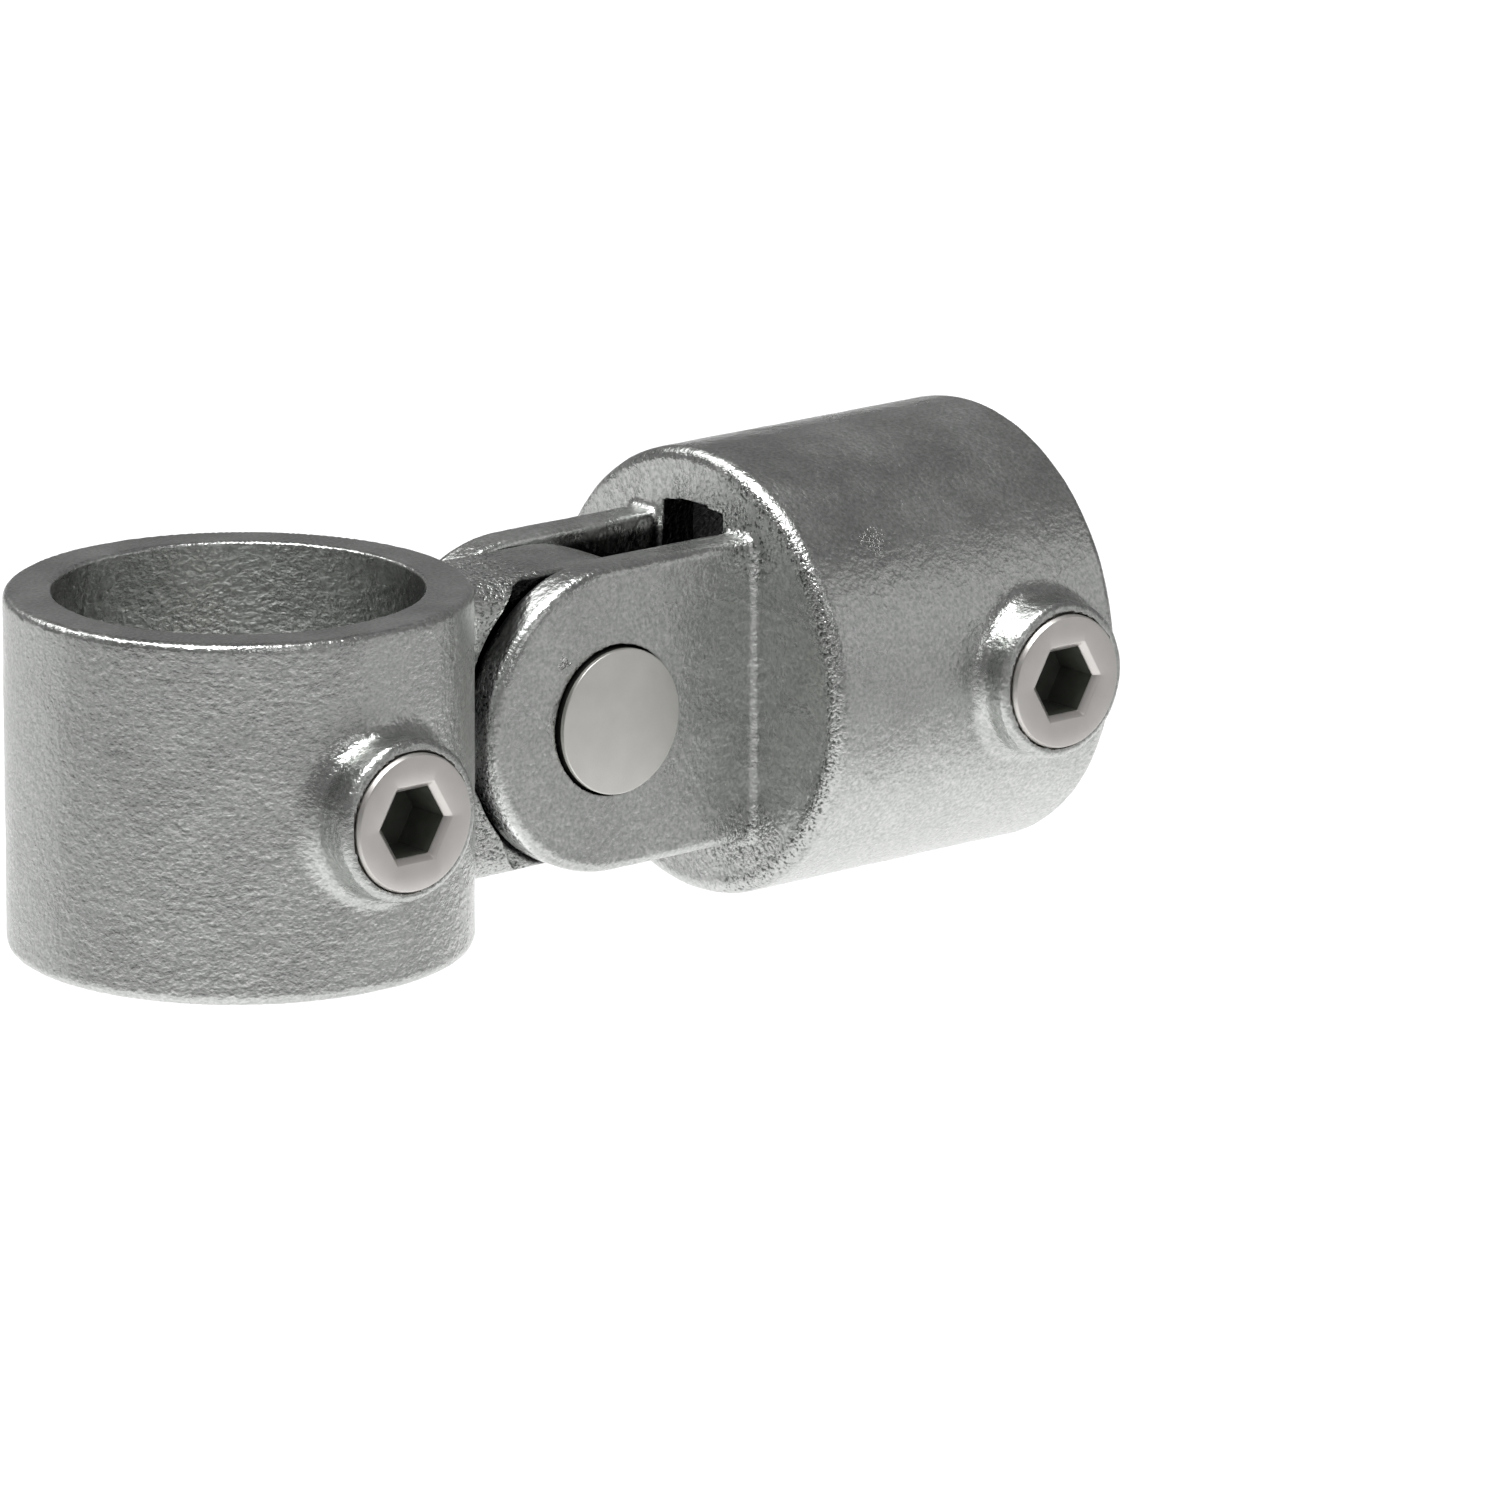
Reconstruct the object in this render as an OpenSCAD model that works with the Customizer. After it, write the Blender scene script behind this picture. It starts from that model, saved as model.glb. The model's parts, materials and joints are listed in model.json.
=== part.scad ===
// Hinged tube clamp: a through collar and an end socket, joined by a fork, a tongue and a pivot pin.
// The collar's bore runs along Z and the socket's along X. The pivot pin lies along Y.

/* [Tube] */
// Outside diameter of the tube that each bore takes
tube_od = 42.4; // [38:0.1:48.3]
// Radial gap between the tube and a bore
tube_gap = 0.8; // [0.4:0.1:1.2]

/* [Collar] */
// Wall of the collar
collar_wall = 5.8; // [5:0.1:8]
// Length of the collar along its tube
collar_length = 43.5; // [41:0.5:56]
// Rounding of the collar's machined top rim
collar_top_round = 0.8; // [0.4:0.1:1.6]
// Rounding of the collar's cast bottom rim
collar_bottom_round = 1.4; // [0.8:0.1:2.4]

/* [Socket] */
// Wall of the socket
socket_wall = 5.8; // [5:0.1:8]
// Length of the socket from its closed end to its mouth
socket_length = 45; // [42:0.5:60]
// Thickness of the closed end
end_wall = 5.2; // [4:0.1:8]
// Rounding of the closed end's rim
end_round = 2.2; // [0.6:0.1:2.5]
// Rounding of the mouth's outer rim
mouth_round = 1.3; // [0.8:0.1:3]
// How far the slot through the closed end stays inside the bore's outline
slot_step = 0.8; // [0.5:0.1:2]
// Ledge on each side where that slot is narrower than the gap between the ears
slot_ledge = 0.85; // [0.3:0.05:1.2]
// Distance from the mouth to the set screw's axis
screw_from_mouth = 12.7; // [12.4:0.1:16]

/* [Hinge] */
// Diameter of the pivot pin
pin_od = 17.9; // [14:0.1:20]
// How far each end of the pin stands out of the fork
pin_proud = 1.1; // [0.5:0.1:2]
// Radial running gap round the pin
pin_gap = 0.05; // [0.02:0.01:0.08]
// Radius of the fork's round ears about the pin
ear_r = 19; // [17:0.5:20]
// Thickness of one ear
ear_wall = 5.5; // [4:0.1:7]
// Rounding of an ear's outer edge
ear_round = 1.5; // [0.8:0.1:2]
// Rounding of an ear's inner edge
ear_inner_round = 0.9; // [0.3:0.1:1.5]
// Radius of the fillet where an ear meets the closed end
root_fillet = 1.1; // [0.6:0.1:1.6]
// Thickness of the tongue between the ears
tongue_wall = 12.6; // [10:0.1:14]
// Gap on each side of the tongue
tongue_gap = 0.2; // [0.1:0.05:0.4]
// How far the tongue's round end stays below the ears' edge
tongue_step = 0.7; // [0.4:0.1:1.5]
// Gap between the ears' round ends and the collar
ear_collar_gap = 0.8; // [0.6:0.1:2]
// Gap between the tongue's round end and the closed end
tongue_end_gap = 3.4; // [3:0.1:6]

/* [Neck] */
// Thickness of the neck beside the collar
neck_wall = 18; // [17:0.5:20]
// Rounding of the neck's long edges
neck_round = 4; // [2.5:0.1:5]
// Gap between an ear's round end and the neck's shoulder
shoulder_gap = 2; // [1.8:0.1:3]
// Fillet at the foot of the shoulder
shoulder_fillet = 1; // [0.6:0.1:1.6]
// Fillet where the neck meets the collar
neck_fillet = 3; // [1.5:0.1:4]

/* [Set screws] */
// Thread diameter of a set screw
screw_od = 16.66; // [13.2:0.1:17]
// Width across the flats of a set screw's hexagon socket
hex_af = 8; // [5:0.5:10]
// Depth of the hexagon socket
hex_depth = 6.5; // [4:0.5:7]
// How far a set screw stands out of its boss
screw_proud = 0.6; // [0.2:0.1:1.5]
// How far a set screw's tip stays back from the bore
tip_setback = 0.2; // [0.1:0.1:1]
// Rim of a boss round its screw hole
boss_rim = 1.45; // [1.4:0.05:3]
// Height of the collar's boss above the collar
collar_boss_rise = 5.2; // [4:0.1:7]
// Height of the socket's boss above the socket
socket_boss_rise = 4.4; // [4:0.1:7]
// Rounding of a boss's outer edge
boss_round = 1.2; // [0.4:0.1:1.2]

/* [Hidden] */
$fn = 96;

// Slack by which a cutting shape runs past the surface that it opens
past = 1;
// Overlap by which joined shapes enter each other
sunk = 1;
// Chamfer at the edge of a bore
bore_chamfer = 0.4;
// Chamfer at the mouth of a screw hole
hole_chamfer = 0.15;
// Radial gap between a set screw and its threaded hole
thread_gap = 0.05;
// Smallest rounding, for an edge that is only broken
edge_break = 0.1;

bore_r = tube_od / 2 + tube_gap;
collar_r = bore_r + collar_wall;
socket_r = bore_r + socket_wall;
slot_arc_r = bore_r - slot_step;

tongue_half = tongue_wall / 2;
slot_half = tongue_half + tongue_gap;
fork_half = slot_half + ear_wall;
tongue_r = ear_r - tongue_step;
neck_half = neck_wall / 2;
shoulder_r = ear_r + shoulder_gap;

pin_r = pin_od / 2;
pin_hole_r = pin_r + pin_gap;
pin_edge = 0.12;
recess_step = 0.15;
recess_depth = 0.8;

pin_x = collar_r + ear_collar_gap + ear_r;
end_x = pin_x + tongue_r + tongue_end_gap;
mouth_x = end_x + socket_length;
socket_screw_x = mouth_x - screw_from_mouth;

screw_r = screw_od / 2;
screw_hole_r = screw_r + thread_gap;
screw_edge = 0.27;
screw_tip_edge = 1;
cup_r = 5;
cup_depth = 1.5;
hex_chamfer = 0.75;
boss_r = screw_hole_r + boss_rim;
flare_r = 2.4;
flare_angle = 40;
flare_steps = 3;
flare_top = 1.5;
flare_foot = 3.8;

collar_casting_colour = [0.62, 0.64, 0.62];
socket_casting_colour = [0.66, 0.68, 0.66];
steel_colour = [0.67, 0.65, 0.63];

// The piece that a round edge takes away at an outline's corner.
// The corner points along +X and +Y from the centre of the rounding.
module corner_waste(radius) {
    difference() {
        square(radius + past);
        circle(r = radius);
    }
}

// A half section of a plate with two rounded outer corners
module rounded_half_section(reach, low, high, round_low, round_high) {
    difference() {
        translate([0, low]) square([reach, high - low]);
        translate([reach - round_high, high - round_high]) corner_waste(round_high);
        translate([reach - round_low, low + round_low]) mirror([0, 1]) corner_waste(round_low);
    }
}

// Turns a 2D outline so that its X runs along the part's Y, its Y along Z, and its depth along X
module along_x(depth) {
    rotate([90, 0, 90]) linear_extrude(height = depth) children();
}

// Places the hinge's pieces, which are drawn about the local Z axis, about the pin
module at_pin() {
    translate([pin_x, 0, 0]) rotate([90, 0, 0]) children();
}

// Places a screw or a boss, drawn outwards along the local Z axis, on a bore's -Y side
module at_screw(x) {
    translate([x, 0, 0]) rotate([90, 0, 0]) children();
}

// A boss round a screw hole, with a flare that runs down into the wall that it stands on
module boss(wall_r, rise) {
    base = bore_r - sunk;
    flare_h = wall_r + flare_top;
    foot_h = wall_r - flare_foot;
    flare_out = flare_r * (1 - cos(flare_angle));
    foot_r = boss_r + flare_out + (flare_h - flare_r * sin(flare_angle) - foot_h) * tan(flare_angle);
    flare = [
        for (step = [flare_steps:-1:0])
            let (turn = flare_angle * step / flare_steps)
                [boss_r + flare_r * (1 - cos(turn)), flare_h - flare_r * sin(turn)]
    ];
    rotate_extrude() polygon(concat([[0, base], [foot_r, base], [foot_r, foot_h]], flare, [[0, flare_h]]));
    rotate_extrude() rounded_half_section(boss_r, base, wall_r + rise, edge_break, boss_round);
}

// The threaded hole through a boss and its wall, with a chamfered mouth
module screw_hole(face) {
    cylinder(r = screw_hole_r, h = face + past);
    translate([0, 0, face - hole_chamfer])
        cylinder(r1 = screw_hole_r, r2 = screw_hole_r + hole_chamfer, h = hole_chamfer);
}

// The neck's and the tongue's half section, across its height and its thickness
module neck_section() {
    rounded_half_section(tongue_r, -neck_half, neck_half, neck_round, neck_round);
}

// The fillets that carry the neck's two sides into the collar
module neck_fillets() {
    centre_y = neck_half + neck_fillet;
    centre_x = sqrt(pow(collar_r + neck_fillet, 2) - pow(centre_y, 2));
    tangent = collar_r / (collar_r + neck_fillet);
    height = 2 * (tongue_r - neck_round);
    for (side = [0, 1]) mirror([0, side, 0])
        translate([0, 0, -height / 2]) linear_extrude(height = height) difference() {
            polygon([
                [bore_r + sunk, neck_half - sunk],
                [centre_x, neck_half - sunk],
                [centre_x, neck_half],
                [centre_x * tangent, centre_y * tangent],
                [centre_x * tangent - sunk, centre_y * tangent - sunk]
            ]);
            translate([centre_x, centre_y]) circle(r = neck_fillet);
        }
}

// Room for one ear beside the tongue, up to the neck's shoulder
module shoulder_relief() {
    depth = neck_half + neck_fillet - tongue_half;
    rotate_extrude() translate([0, tongue_half])
        rounded_half_section(shoulder_r, 0, depth + past, shoulder_fillet, edge_break);
}

module neck_and_tongue() {
    difference() {
        union() {
            at_pin() {
                rotate_extrude() neck_section();
                mirror([1, 0, 0]) along_x(pin_x - bore_r - sunk) {
                    neck_section();
                    mirror([1, 0]) neck_section();
                }
            }
            neck_fillets();
        }
        at_pin() {
            shoulder_relief();
            mirror([0, 0, 1]) shoulder_relief();
        }
    }
}

// Collar that slides on the through tube, with its neck and tongue
module collar_casting() {
    color(collar_casting_colour) difference() {
        union() {
            rotate_extrude() rounded_half_section(
                collar_r, -collar_length / 2, collar_length / 2, collar_bottom_round, collar_top_round);
            neck_and_tongue();
            at_screw(0) boss(collar_r, collar_boss_rise);
        }
        translate([0, 0, -collar_length / 2 - past]) cylinder(r = bore_r, h = collar_length + 2 * past);
        for (side = [0, 1]) mirror([0, 0, side])
            translate([0, 0, collar_length / 2 - bore_chamfer])
                cylinder(r1 = bore_r, r2 = bore_r + bore_chamfer + past, h = bore_chamfer + past);
        at_screw(0) screw_hole(collar_r + collar_boss_rise);
        at_pin() translate([0, 0, -tongue_half - past]) cylinder(r = pin_hole_r, h = tongue_wall + 2 * past);
    }
}

module ear_section() {
    rounded_half_section(ear_r, slot_half, fork_half, ear_inner_round, ear_round);
}

// One ear, with its round end about the pin and its straight root at the closed end
module ear() {
    rotate_extrude() ear_section();
    along_x(end_x - pin_x + sunk) {
        ear_section();
        mirror([1, 0]) ear_section();
    }
}

// Concave strip that fills the corner between two faces at right angles
module fillet_strip(radius, length) {
    linear_extrude(height = length) difference() {
        translate([-sunk, -sunk]) square(radius + sunk);
        translate([radius, radius]) circle(r = radius);
    }
}

// Fillets round the root of one ear, on its outer face and along its top and bottom edges
module ear_root() {
    translate([end_x - pin_x, ear_round - ear_r, fork_half])
        rotate([-90, 0, 0]) mirror([1, 0, 0]) mirror([0, 1, 0])
            fillet_strip(root_fillet, 2 * (ear_r - ear_round));
    for (side = [0, 1]) mirror([0, side, 0])
        translate([end_x - pin_x, ear_r, slot_half + ear_inner_round]) mirror([1, 0, 0])
            fillet_strip(root_fillet, ear_wall - ear_round - ear_inner_round);
}

// Cup that takes the second tube, closed at the hinge's end
module cup() {
    translate([end_x, 0, 0]) rotate([0, 90, 0])
        rotate_extrude() rounded_half_section(socket_r, 0, socket_length, end_round, mouth_round);
}

// Takes away what the boss's flare leaves beyond the mouth
module mouth_trim() {
    reach = socket_r + socket_boss_rise + past;
    translate([mouth_x, -reach, -reach]) cube([boss_r, reach, 2 * reach]);
}

module cup_bore() {
    translate([end_x + end_wall, 0, 0]) rotate([0, 90, 0]) cylinder(r = bore_r, h = socket_length);
    translate([mouth_x - bore_chamfer, 0, 0]) rotate([0, 90, 0])
        cylinder(r1 = bore_r, r2 = bore_r + bore_chamfer + past, h = bore_chamfer + past);
}

// Slot between the ears, cut on through the closed end into the socket's bore
module end_slot() {
    half = slot_half - slot_ledge;
    intersection() {
        translate([end_x - sunk, -half, -slot_arc_r])
            cube([end_wall + sunk + past, 2 * half, 2 * slot_arc_r]);
        translate([end_x - sunk, 0, 0]) rotate([0, 90, 0])
            cylinder(r = slot_arc_r, h = end_wall + sunk + past);
    }
}

// Pin hole through both ears, with a shallow recess round each end of the pin
module fork_pin_hole() {
    translate([0, 0, -fork_half - past]) cylinder(r = pin_hole_r, h = 2 * (fork_half + past));
    for (side = [0, 1]) mirror([0, 0, side])
        translate([0, 0, fork_half - recess_depth])
            cylinder(r = pin_hole_r + recess_step, h = recess_depth + past);
}

// Socket for the second tube, with the fork that carries the pin
module socket_casting() {
    color(socket_casting_colour) difference() {
        union() {
            cup();
            at_pin() for (side = [0, 1]) mirror([0, 0, side]) {
                ear();
                ear_root();
            }
            at_screw(socket_screw_x) boss(socket_r, socket_boss_rise);
        }
        mouth_trim();
        cup_bore();
        end_slot();
        at_screw(socket_screw_x) screw_hole(socket_r + socket_boss_rise);
        at_pin() fork_pin_hole();
    }
}

// Plain steel pin that the fork turns on
module pivot_pin() {
    half = fork_half + pin_proud;
    color(steel_colour) at_pin() {
        translate([0, 0, pin_edge - half]) cylinder(r = pin_r, h = 2 * (half - pin_edge));
        for (side = [0, 1]) mirror([0, 0, side])
            translate([0, 0, half - pin_edge]) cylinder(r1 = pin_r, r2 = pin_r - pin_edge, h = pin_edge);
    }
}

// Headless screw with a hexagon socket and a cup point.
// Its face is at the given distance from the bore's axis.
module set_screw(face) {
    tip = bore_r + tip_setback;
    hex_r = hex_af / (2 * cos(30));
    hex_mouth_r = (hex_af / 2 + hex_chamfer) / cos(30);
    color(steel_colour) difference() {
        union() {
            translate([0, 0, tip]) cylinder(r1 = screw_r - screw_tip_edge, r2 = screw_r, h = screw_tip_edge);
            translate([0, 0, tip + screw_tip_edge])
                cylinder(r = screw_r, h = face - tip - screw_tip_edge - screw_edge);
            translate([0, 0, face - screw_edge])
                cylinder(r1 = screw_r, r2 = screw_r - screw_edge, h = screw_edge);
        }
        translate([0, 0, face - hex_depth]) cylinder(r = hex_r, h = hex_depth + past, $fn = 6);
        translate([0, 0, face - hex_chamfer])
            cylinder(r1 = hex_r, r2 = hex_mouth_r, h = hex_chamfer, $fn = 6);
        translate([0, 0, tip - past])
            cylinder(r1 = cup_r + past, r2 = cup_r - cup_depth, h = cup_depth + past);
    }
}

module collar_set_screw() {
    at_screw(0) set_screw(collar_r + collar_boss_rise + screw_proud);
}

module socket_set_screw() {
    at_screw(socket_screw_x) set_screw(socket_r + socket_boss_rise + screw_proud);
}

collar_casting();
socket_casting();
pivot_pin();
collar_set_screw();
socket_set_screw();
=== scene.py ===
import json
import math

import bpy
import numpy as np
from mathutils import Matrix, Vector


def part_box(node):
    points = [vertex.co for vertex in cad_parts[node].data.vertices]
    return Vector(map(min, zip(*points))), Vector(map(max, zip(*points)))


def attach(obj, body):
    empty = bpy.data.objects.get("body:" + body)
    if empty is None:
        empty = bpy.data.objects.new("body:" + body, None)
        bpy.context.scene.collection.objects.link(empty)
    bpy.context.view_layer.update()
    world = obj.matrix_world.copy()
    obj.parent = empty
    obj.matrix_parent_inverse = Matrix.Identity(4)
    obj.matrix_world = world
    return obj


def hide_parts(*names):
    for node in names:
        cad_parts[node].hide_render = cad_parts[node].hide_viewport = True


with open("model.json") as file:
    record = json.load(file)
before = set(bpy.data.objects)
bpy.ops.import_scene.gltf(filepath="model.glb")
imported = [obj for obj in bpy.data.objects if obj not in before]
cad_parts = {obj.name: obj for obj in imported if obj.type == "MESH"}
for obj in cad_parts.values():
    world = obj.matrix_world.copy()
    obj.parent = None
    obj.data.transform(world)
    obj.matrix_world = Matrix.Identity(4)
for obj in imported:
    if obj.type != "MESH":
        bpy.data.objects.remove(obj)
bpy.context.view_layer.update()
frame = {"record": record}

# Lengths are in millimetres until a mesh is made.
MM = 0.001

# Sizes that the castings share with the CAD model
collar_low, collar_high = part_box("collar_casting")
socket_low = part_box("socket_casting")[0]
pin_low, pin_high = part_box("pivot_pin")
screw_low, screw_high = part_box("socket_set_screw")
BORE_R = frame["record"]["mounts"][0]["dims"]["r_mm"]
WALL = 5.8
CASTING_R = BORE_R + WALL
COLLAR_HALF = collar_high.z / MM
COLLAR_BOSS_TOP = -collar_low.y / MM
SOCKET_BOSS_TOP = -socket_low.y / MM
BOSS_R = 9.83
SCREW_HOLE_R = 8.38
PIN_R = (pin_high.x - pin_low.x) / 2 / MM
PIN_X = (pin_high.x + pin_low.x) / 2 / MM
PIN_HALF = pin_high.y / MM
PIN_GAP = 0.05
PIN_PROUD = 1.1
PIN_HOLE_R = PIN_R + PIN_GAP
RECESS_STEP = 0.15
RECESS_DEPTH = 0.8
TONGUE_R = 18.3
TONGUE_HALF = 6.3
NECK_HALF = 9.0
SHOULDER_R = 21.0
EAR_R = 19.0
FORK_HALF = PIN_HALF - PIN_PROUD
SLOT_HALF = 6.5
SLOT_LEDGE = 0.85
SLOT_ARC_R = 21.2
SCREW_FROM_MOUTH = 12.7
SOCKET_LENGTH = 45.0
END_WALL = 5.2
SOCKET_SCREW_X = (screw_low.x + screw_high.x) / 2 / MM
MOUTH_X = SOCKET_SCREW_X + SCREW_FROM_MOUTH
END_X = MOUTH_X - SOCKET_LENGTH
CAVITY_X = END_X + END_WALL

# Roundings of the castings' edges, and fillets in their corners
COLLAR_TOP_EDGE = 1.1
COLLAR_FOOT_EDGE = 1.4
END_EDGE = 1.8
MOUTH_EDGE = 1.3
BORE_EDGE = 0.4
CAVITY_FILLET = 0.8
BOSS_EDGE = 1.2
COLLAR_BOSS_FILLET = 2.2
SOCKET_BOSS_FILLET = 1.8
NECK_EDGE = 4.0
NECK_FILLET = 3.0
SHOULDER_EDGE = 0.5
SHOULDER_FILLET = 1.0
EAR_EDGE = 1.5
EAR_INNER_EDGE = 0.9
EAR_FILLET = 1.1
SLOT_EDGE = 0.15
RECESS_EDGE = 0.15
TONGUE_HOLE_EDGE = 0.15
EAR_HOLE_EDGE = 0.1
SCREW_HOLE_EDGE = 0.08

# How much rounder a screw hole's edge is where it enters the bore, and how far below the bore that starts
SCREW_HOLE_ROUNDER = 0.4
SCREW_HOLE_FADE = 3

# How far the neck's shoulder comes out to the ears, and how far below the pin it starts, is full and ends
SHOULDER_FILL = 1.3
SHOULDER_FILL_DEPTHS = (2, 8, 12, 17)

# How far the ears reach into the closed end
EAR_ROOT = 2


def ramp(values, start, stop):
    """Smooth step from 0 at start to 1 at stop."""
    part = np.clip((values - start) / (stop - start), 0, 1)
    return part * part * (3 - 2 * part)


def band(values, start, full, fade, gone):
    """Smooth band: 0 up to start, 1 from full to fade, 0 again from gone."""
    return ramp(values, start, full) * (1 - ramp(values, fade, gone))


# Distance fields: negative inside, positive outside, in millimetres.

def round_meet(a, b, radius):
    """Where both fields are negative, with the convex edge between them rounded."""
    over_a = a + radius
    over_b = b + radius
    outside = np.hypot(np.maximum(over_a, 0), np.maximum(over_b, 0))
    return np.minimum(np.maximum(over_a, over_b), 0) + outside - radius


def fillet_join(a, b, radius):
    """Where either field is negative, with the concave corner between them filled."""
    inside = np.hypot(np.maximum(radius - a, 0), np.maximum(radius - b, 0))
    return np.maximum(np.minimum(a, b), radius) - inside


def cut(a, hole, edge):
    """Field a without the hole, with the hole's edge rounded."""
    return round_meet(a, -hole, edge)


def boss_field(x, y, z, screw_x, top):
    """The boss on a bore's -Y side."""
    side = np.hypot(x - screw_x, z) - BOSS_R
    boss = round_meet(side, -y - top, BOSS_EDGE)
    return np.maximum(boss, y)


def drill_boss(body, x, y, z, screw_x):
    """The casting with the screw's hole, whose edge is rounder where it enters the bore."""
    hole = np.maximum(np.hypot(x - screw_x, z) - SCREW_HOLE_R, y)
    edge = SCREW_HOLE_EDGE + SCREW_HOLE_ROUNDER * ramp(y, -BORE_R - SCREW_HOLE_FADE, -BORE_R)
    return cut(body, hole, edge)


def collar_field(x, y, z):
    """The through collar with its boss, its neck and its tongue."""
    side = np.hypot(x, y) - CASTING_R
    body = round_meet(side, z - COLLAR_HALF, COLLAR_TOP_EDGE)
    body = round_meet(body, -COLLAR_HALF - z, COLLAR_FOOT_EDGE)
    along = x - PIN_X
    neck_end = np.hypot(np.maximum(along, 0), z) - TONGUE_R
    neck = round_meet(neck_end, np.abs(y) - NECK_HALF, NECK_EDGE)
    neck = np.maximum(neck, -x)
    from_pin = np.hypot(along, z)
    shoulder_r = SHOULDER_R - SHOULDER_FILL * band(-z, *SHOULDER_FILL_DEPTHS)
    relief = round_meet(from_pin - shoulder_r, TONGUE_HALF - np.abs(y), SHOULDER_FILLET)
    body = fillet_join(body, neck, NECK_FILLET)
    body = fillet_join(body, boss_field(x, y, z, 0, COLLAR_BOSS_TOP), COLLAR_BOSS_FILLET)
    body = cut(body, relief, SHOULDER_EDGE)
    body = cut(body, np.hypot(x, y) - BORE_R, BORE_EDGE)
    body = drill_boss(body, x, y, z, 0)
    return cut(body, from_pin - PIN_HOLE_R, TONGUE_HOLE_EDGE)


def socket_field(x, y, z):
    """The end socket with its closed end, its slot, its two ears and its boss."""
    from_axis = np.hypot(y, z)
    body = round_meet(from_axis - CASTING_R, END_X - x, END_EDGE)
    body = round_meet(body, x - MOUTH_X, MOUTH_EDGE)
    along = x - PIN_X
    ear_outline = np.hypot(np.minimum(along, 0), z) - EAR_R
    ears = round_meet(ear_outline, np.abs(y) - FORK_HALF, EAR_EDGE)
    ears = round_meet(ears, SLOT_HALF - np.abs(y), EAR_INNER_EDGE)
    ears = np.maximum(ears, x - END_X - EAR_ROOT)
    body = fillet_join(body, ears, EAR_FILLET)
    body = fillet_join(body, boss_field(x, y, z, SOCKET_SCREW_X, SOCKET_BOSS_TOP), SOCKET_BOSS_FILLET)
    cavity = round_meet(from_axis - BORE_R, CAVITY_X - x, CAVITY_FILLET)
    body = cut(body, cavity, BORE_EDGE)
    slot = np.maximum(np.abs(y) - SLOT_HALF + SLOT_LEDGE, from_axis - SLOT_ARC_R)
    slot = np.maximum(slot, EAR_R / 2 + PIN_X - x)
    body = cut(body, slot, SLOT_EDGE)
    body = drill_boss(body, x, y, z, SOCKET_SCREW_X)
    from_pin = np.hypot(along, z)
    body = cut(body, from_pin - PIN_HOLE_R, EAR_HOLE_EDGE)
    recess = np.maximum(from_pin - PIN_HOLE_R - RECESS_STEP, FORK_HALF - RECESS_DEPTH - np.abs(y))
    return cut(body, recess, RECESS_EDGE)


# Meshing of a field by surface nets

# A cell's side, and how many cells a cell of the coarse grid spans
CELL = 0.45
COARSE = 4
SLOPE_STEP = 0.02
# Guards against a division by nearly nothing
LEAST_STEEPNESS = 0.25
TINY = 1e-9


def grid_values(field, axes):
    """The field on a grid. Far from the surface a coarse value stands in, which has the right sign."""
    coarse_axes = [axis[::COARSE] for axis in axes]
    coarse = field(*np.meshgrid(*coarse_axes, indexing="ij"))
    nearest = [np.minimum((np.arange(len(axis)) + COARSE // 2) // COARSE, len(few) - 1)
               for axis, few in zip(axes, coarse_axes)]
    values = coarse[np.ix_(*nearest)]
    near = np.abs(values) < COARSE * CELL
    i, j, k = np.nonzero(near)
    values[near] = field(axes[0][i], axes[1][j], axes[2][k])
    return values


def net_points(values, cells):
    """One point in each cell, at the mean of the places where the cell's edges cross the surface."""
    total = np.zeros((len(cells), 3))
    hits = np.zeros(len(cells))
    for axis in range(3):
        for step_u in (0, 1):
            for step_v in (0, 1):
                start = cells.copy()
                start[:, (axis + 1) % 3] += step_u
                start[:, (axis + 2) % 3] += step_v
                end = start.copy()
                end[:, axis] += 1
                first = values[tuple(start.T)]
                last = values[tuple(end.T)]
                crossed = (first < 0) != (last < 0)
                point = start[crossed].astype(float)
                point[:, axis] += first[crossed] / (first[crossed] - last[crossed])
                total[crossed] += point
                hits[crossed] += 1
    return total / hits[:, None]


def net_faces(inside, index):
    """One quad round each grid edge that crosses the surface, facing outwards."""
    faces = []
    for axis in range(3):
        u = (axis + 1) % 3
        v = (axis + 2) % 3
        low = [slice(1, -1)] * 3
        high = [slice(1, -1)] * 3
        low[axis] = slice(0, -1)
        high[axis] = slice(1, None)
        change = inside[tuple(low)] != inside[tuple(high)]
        edges = np.argwhere(change)
        edges[:, u] += 1
        edges[:, v] += 1
        corners = []
        for step_u, step_v in ((-1, -1), (0, -1), (0, 0), (-1, 0)):
            cell = edges.copy()
            cell[:, u] += step_u
            cell[:, v] += step_v
            corners.append(index[tuple(cell.T)])
        quads = np.stack(corners, axis=1)
        leaves = inside[tuple(edges.T)]
        quads[~leaves] = quads[~leaves][:, ::-1]
        faces.append(quads)
    return np.concatenate(faces)


def gradient(field, points, step=SLOPE_STEP):
    """The field's slope along each axis, over twice the step."""
    slopes = []
    for axis in range(3):
        ahead = points.copy()
        behind = points.copy()
        ahead[:, axis] += step
        behind[:, axis] -= step
        slopes.append((field(*ahead.T) - field(*behind.T)) / (2 * step))
    return np.stack(slopes, axis=1)


def pull_to_surface(field, points, rounds=3):
    """Moves the points to where the field is zero, by half a cell at most in each round."""
    for _ in range(rounds):
        slope = gradient(field, points)
        steepness = np.maximum((slope ** 2).sum(axis=1), LEAST_STEEPNESS)
        move = slope * (field(*points.T) / steepness)[:, None]
        length = np.linalg.norm(move, axis=1)
        move *= np.minimum(1, CELL / 2 / np.maximum(length, TINY))[:, None]
        points = points - move
    return points


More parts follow.
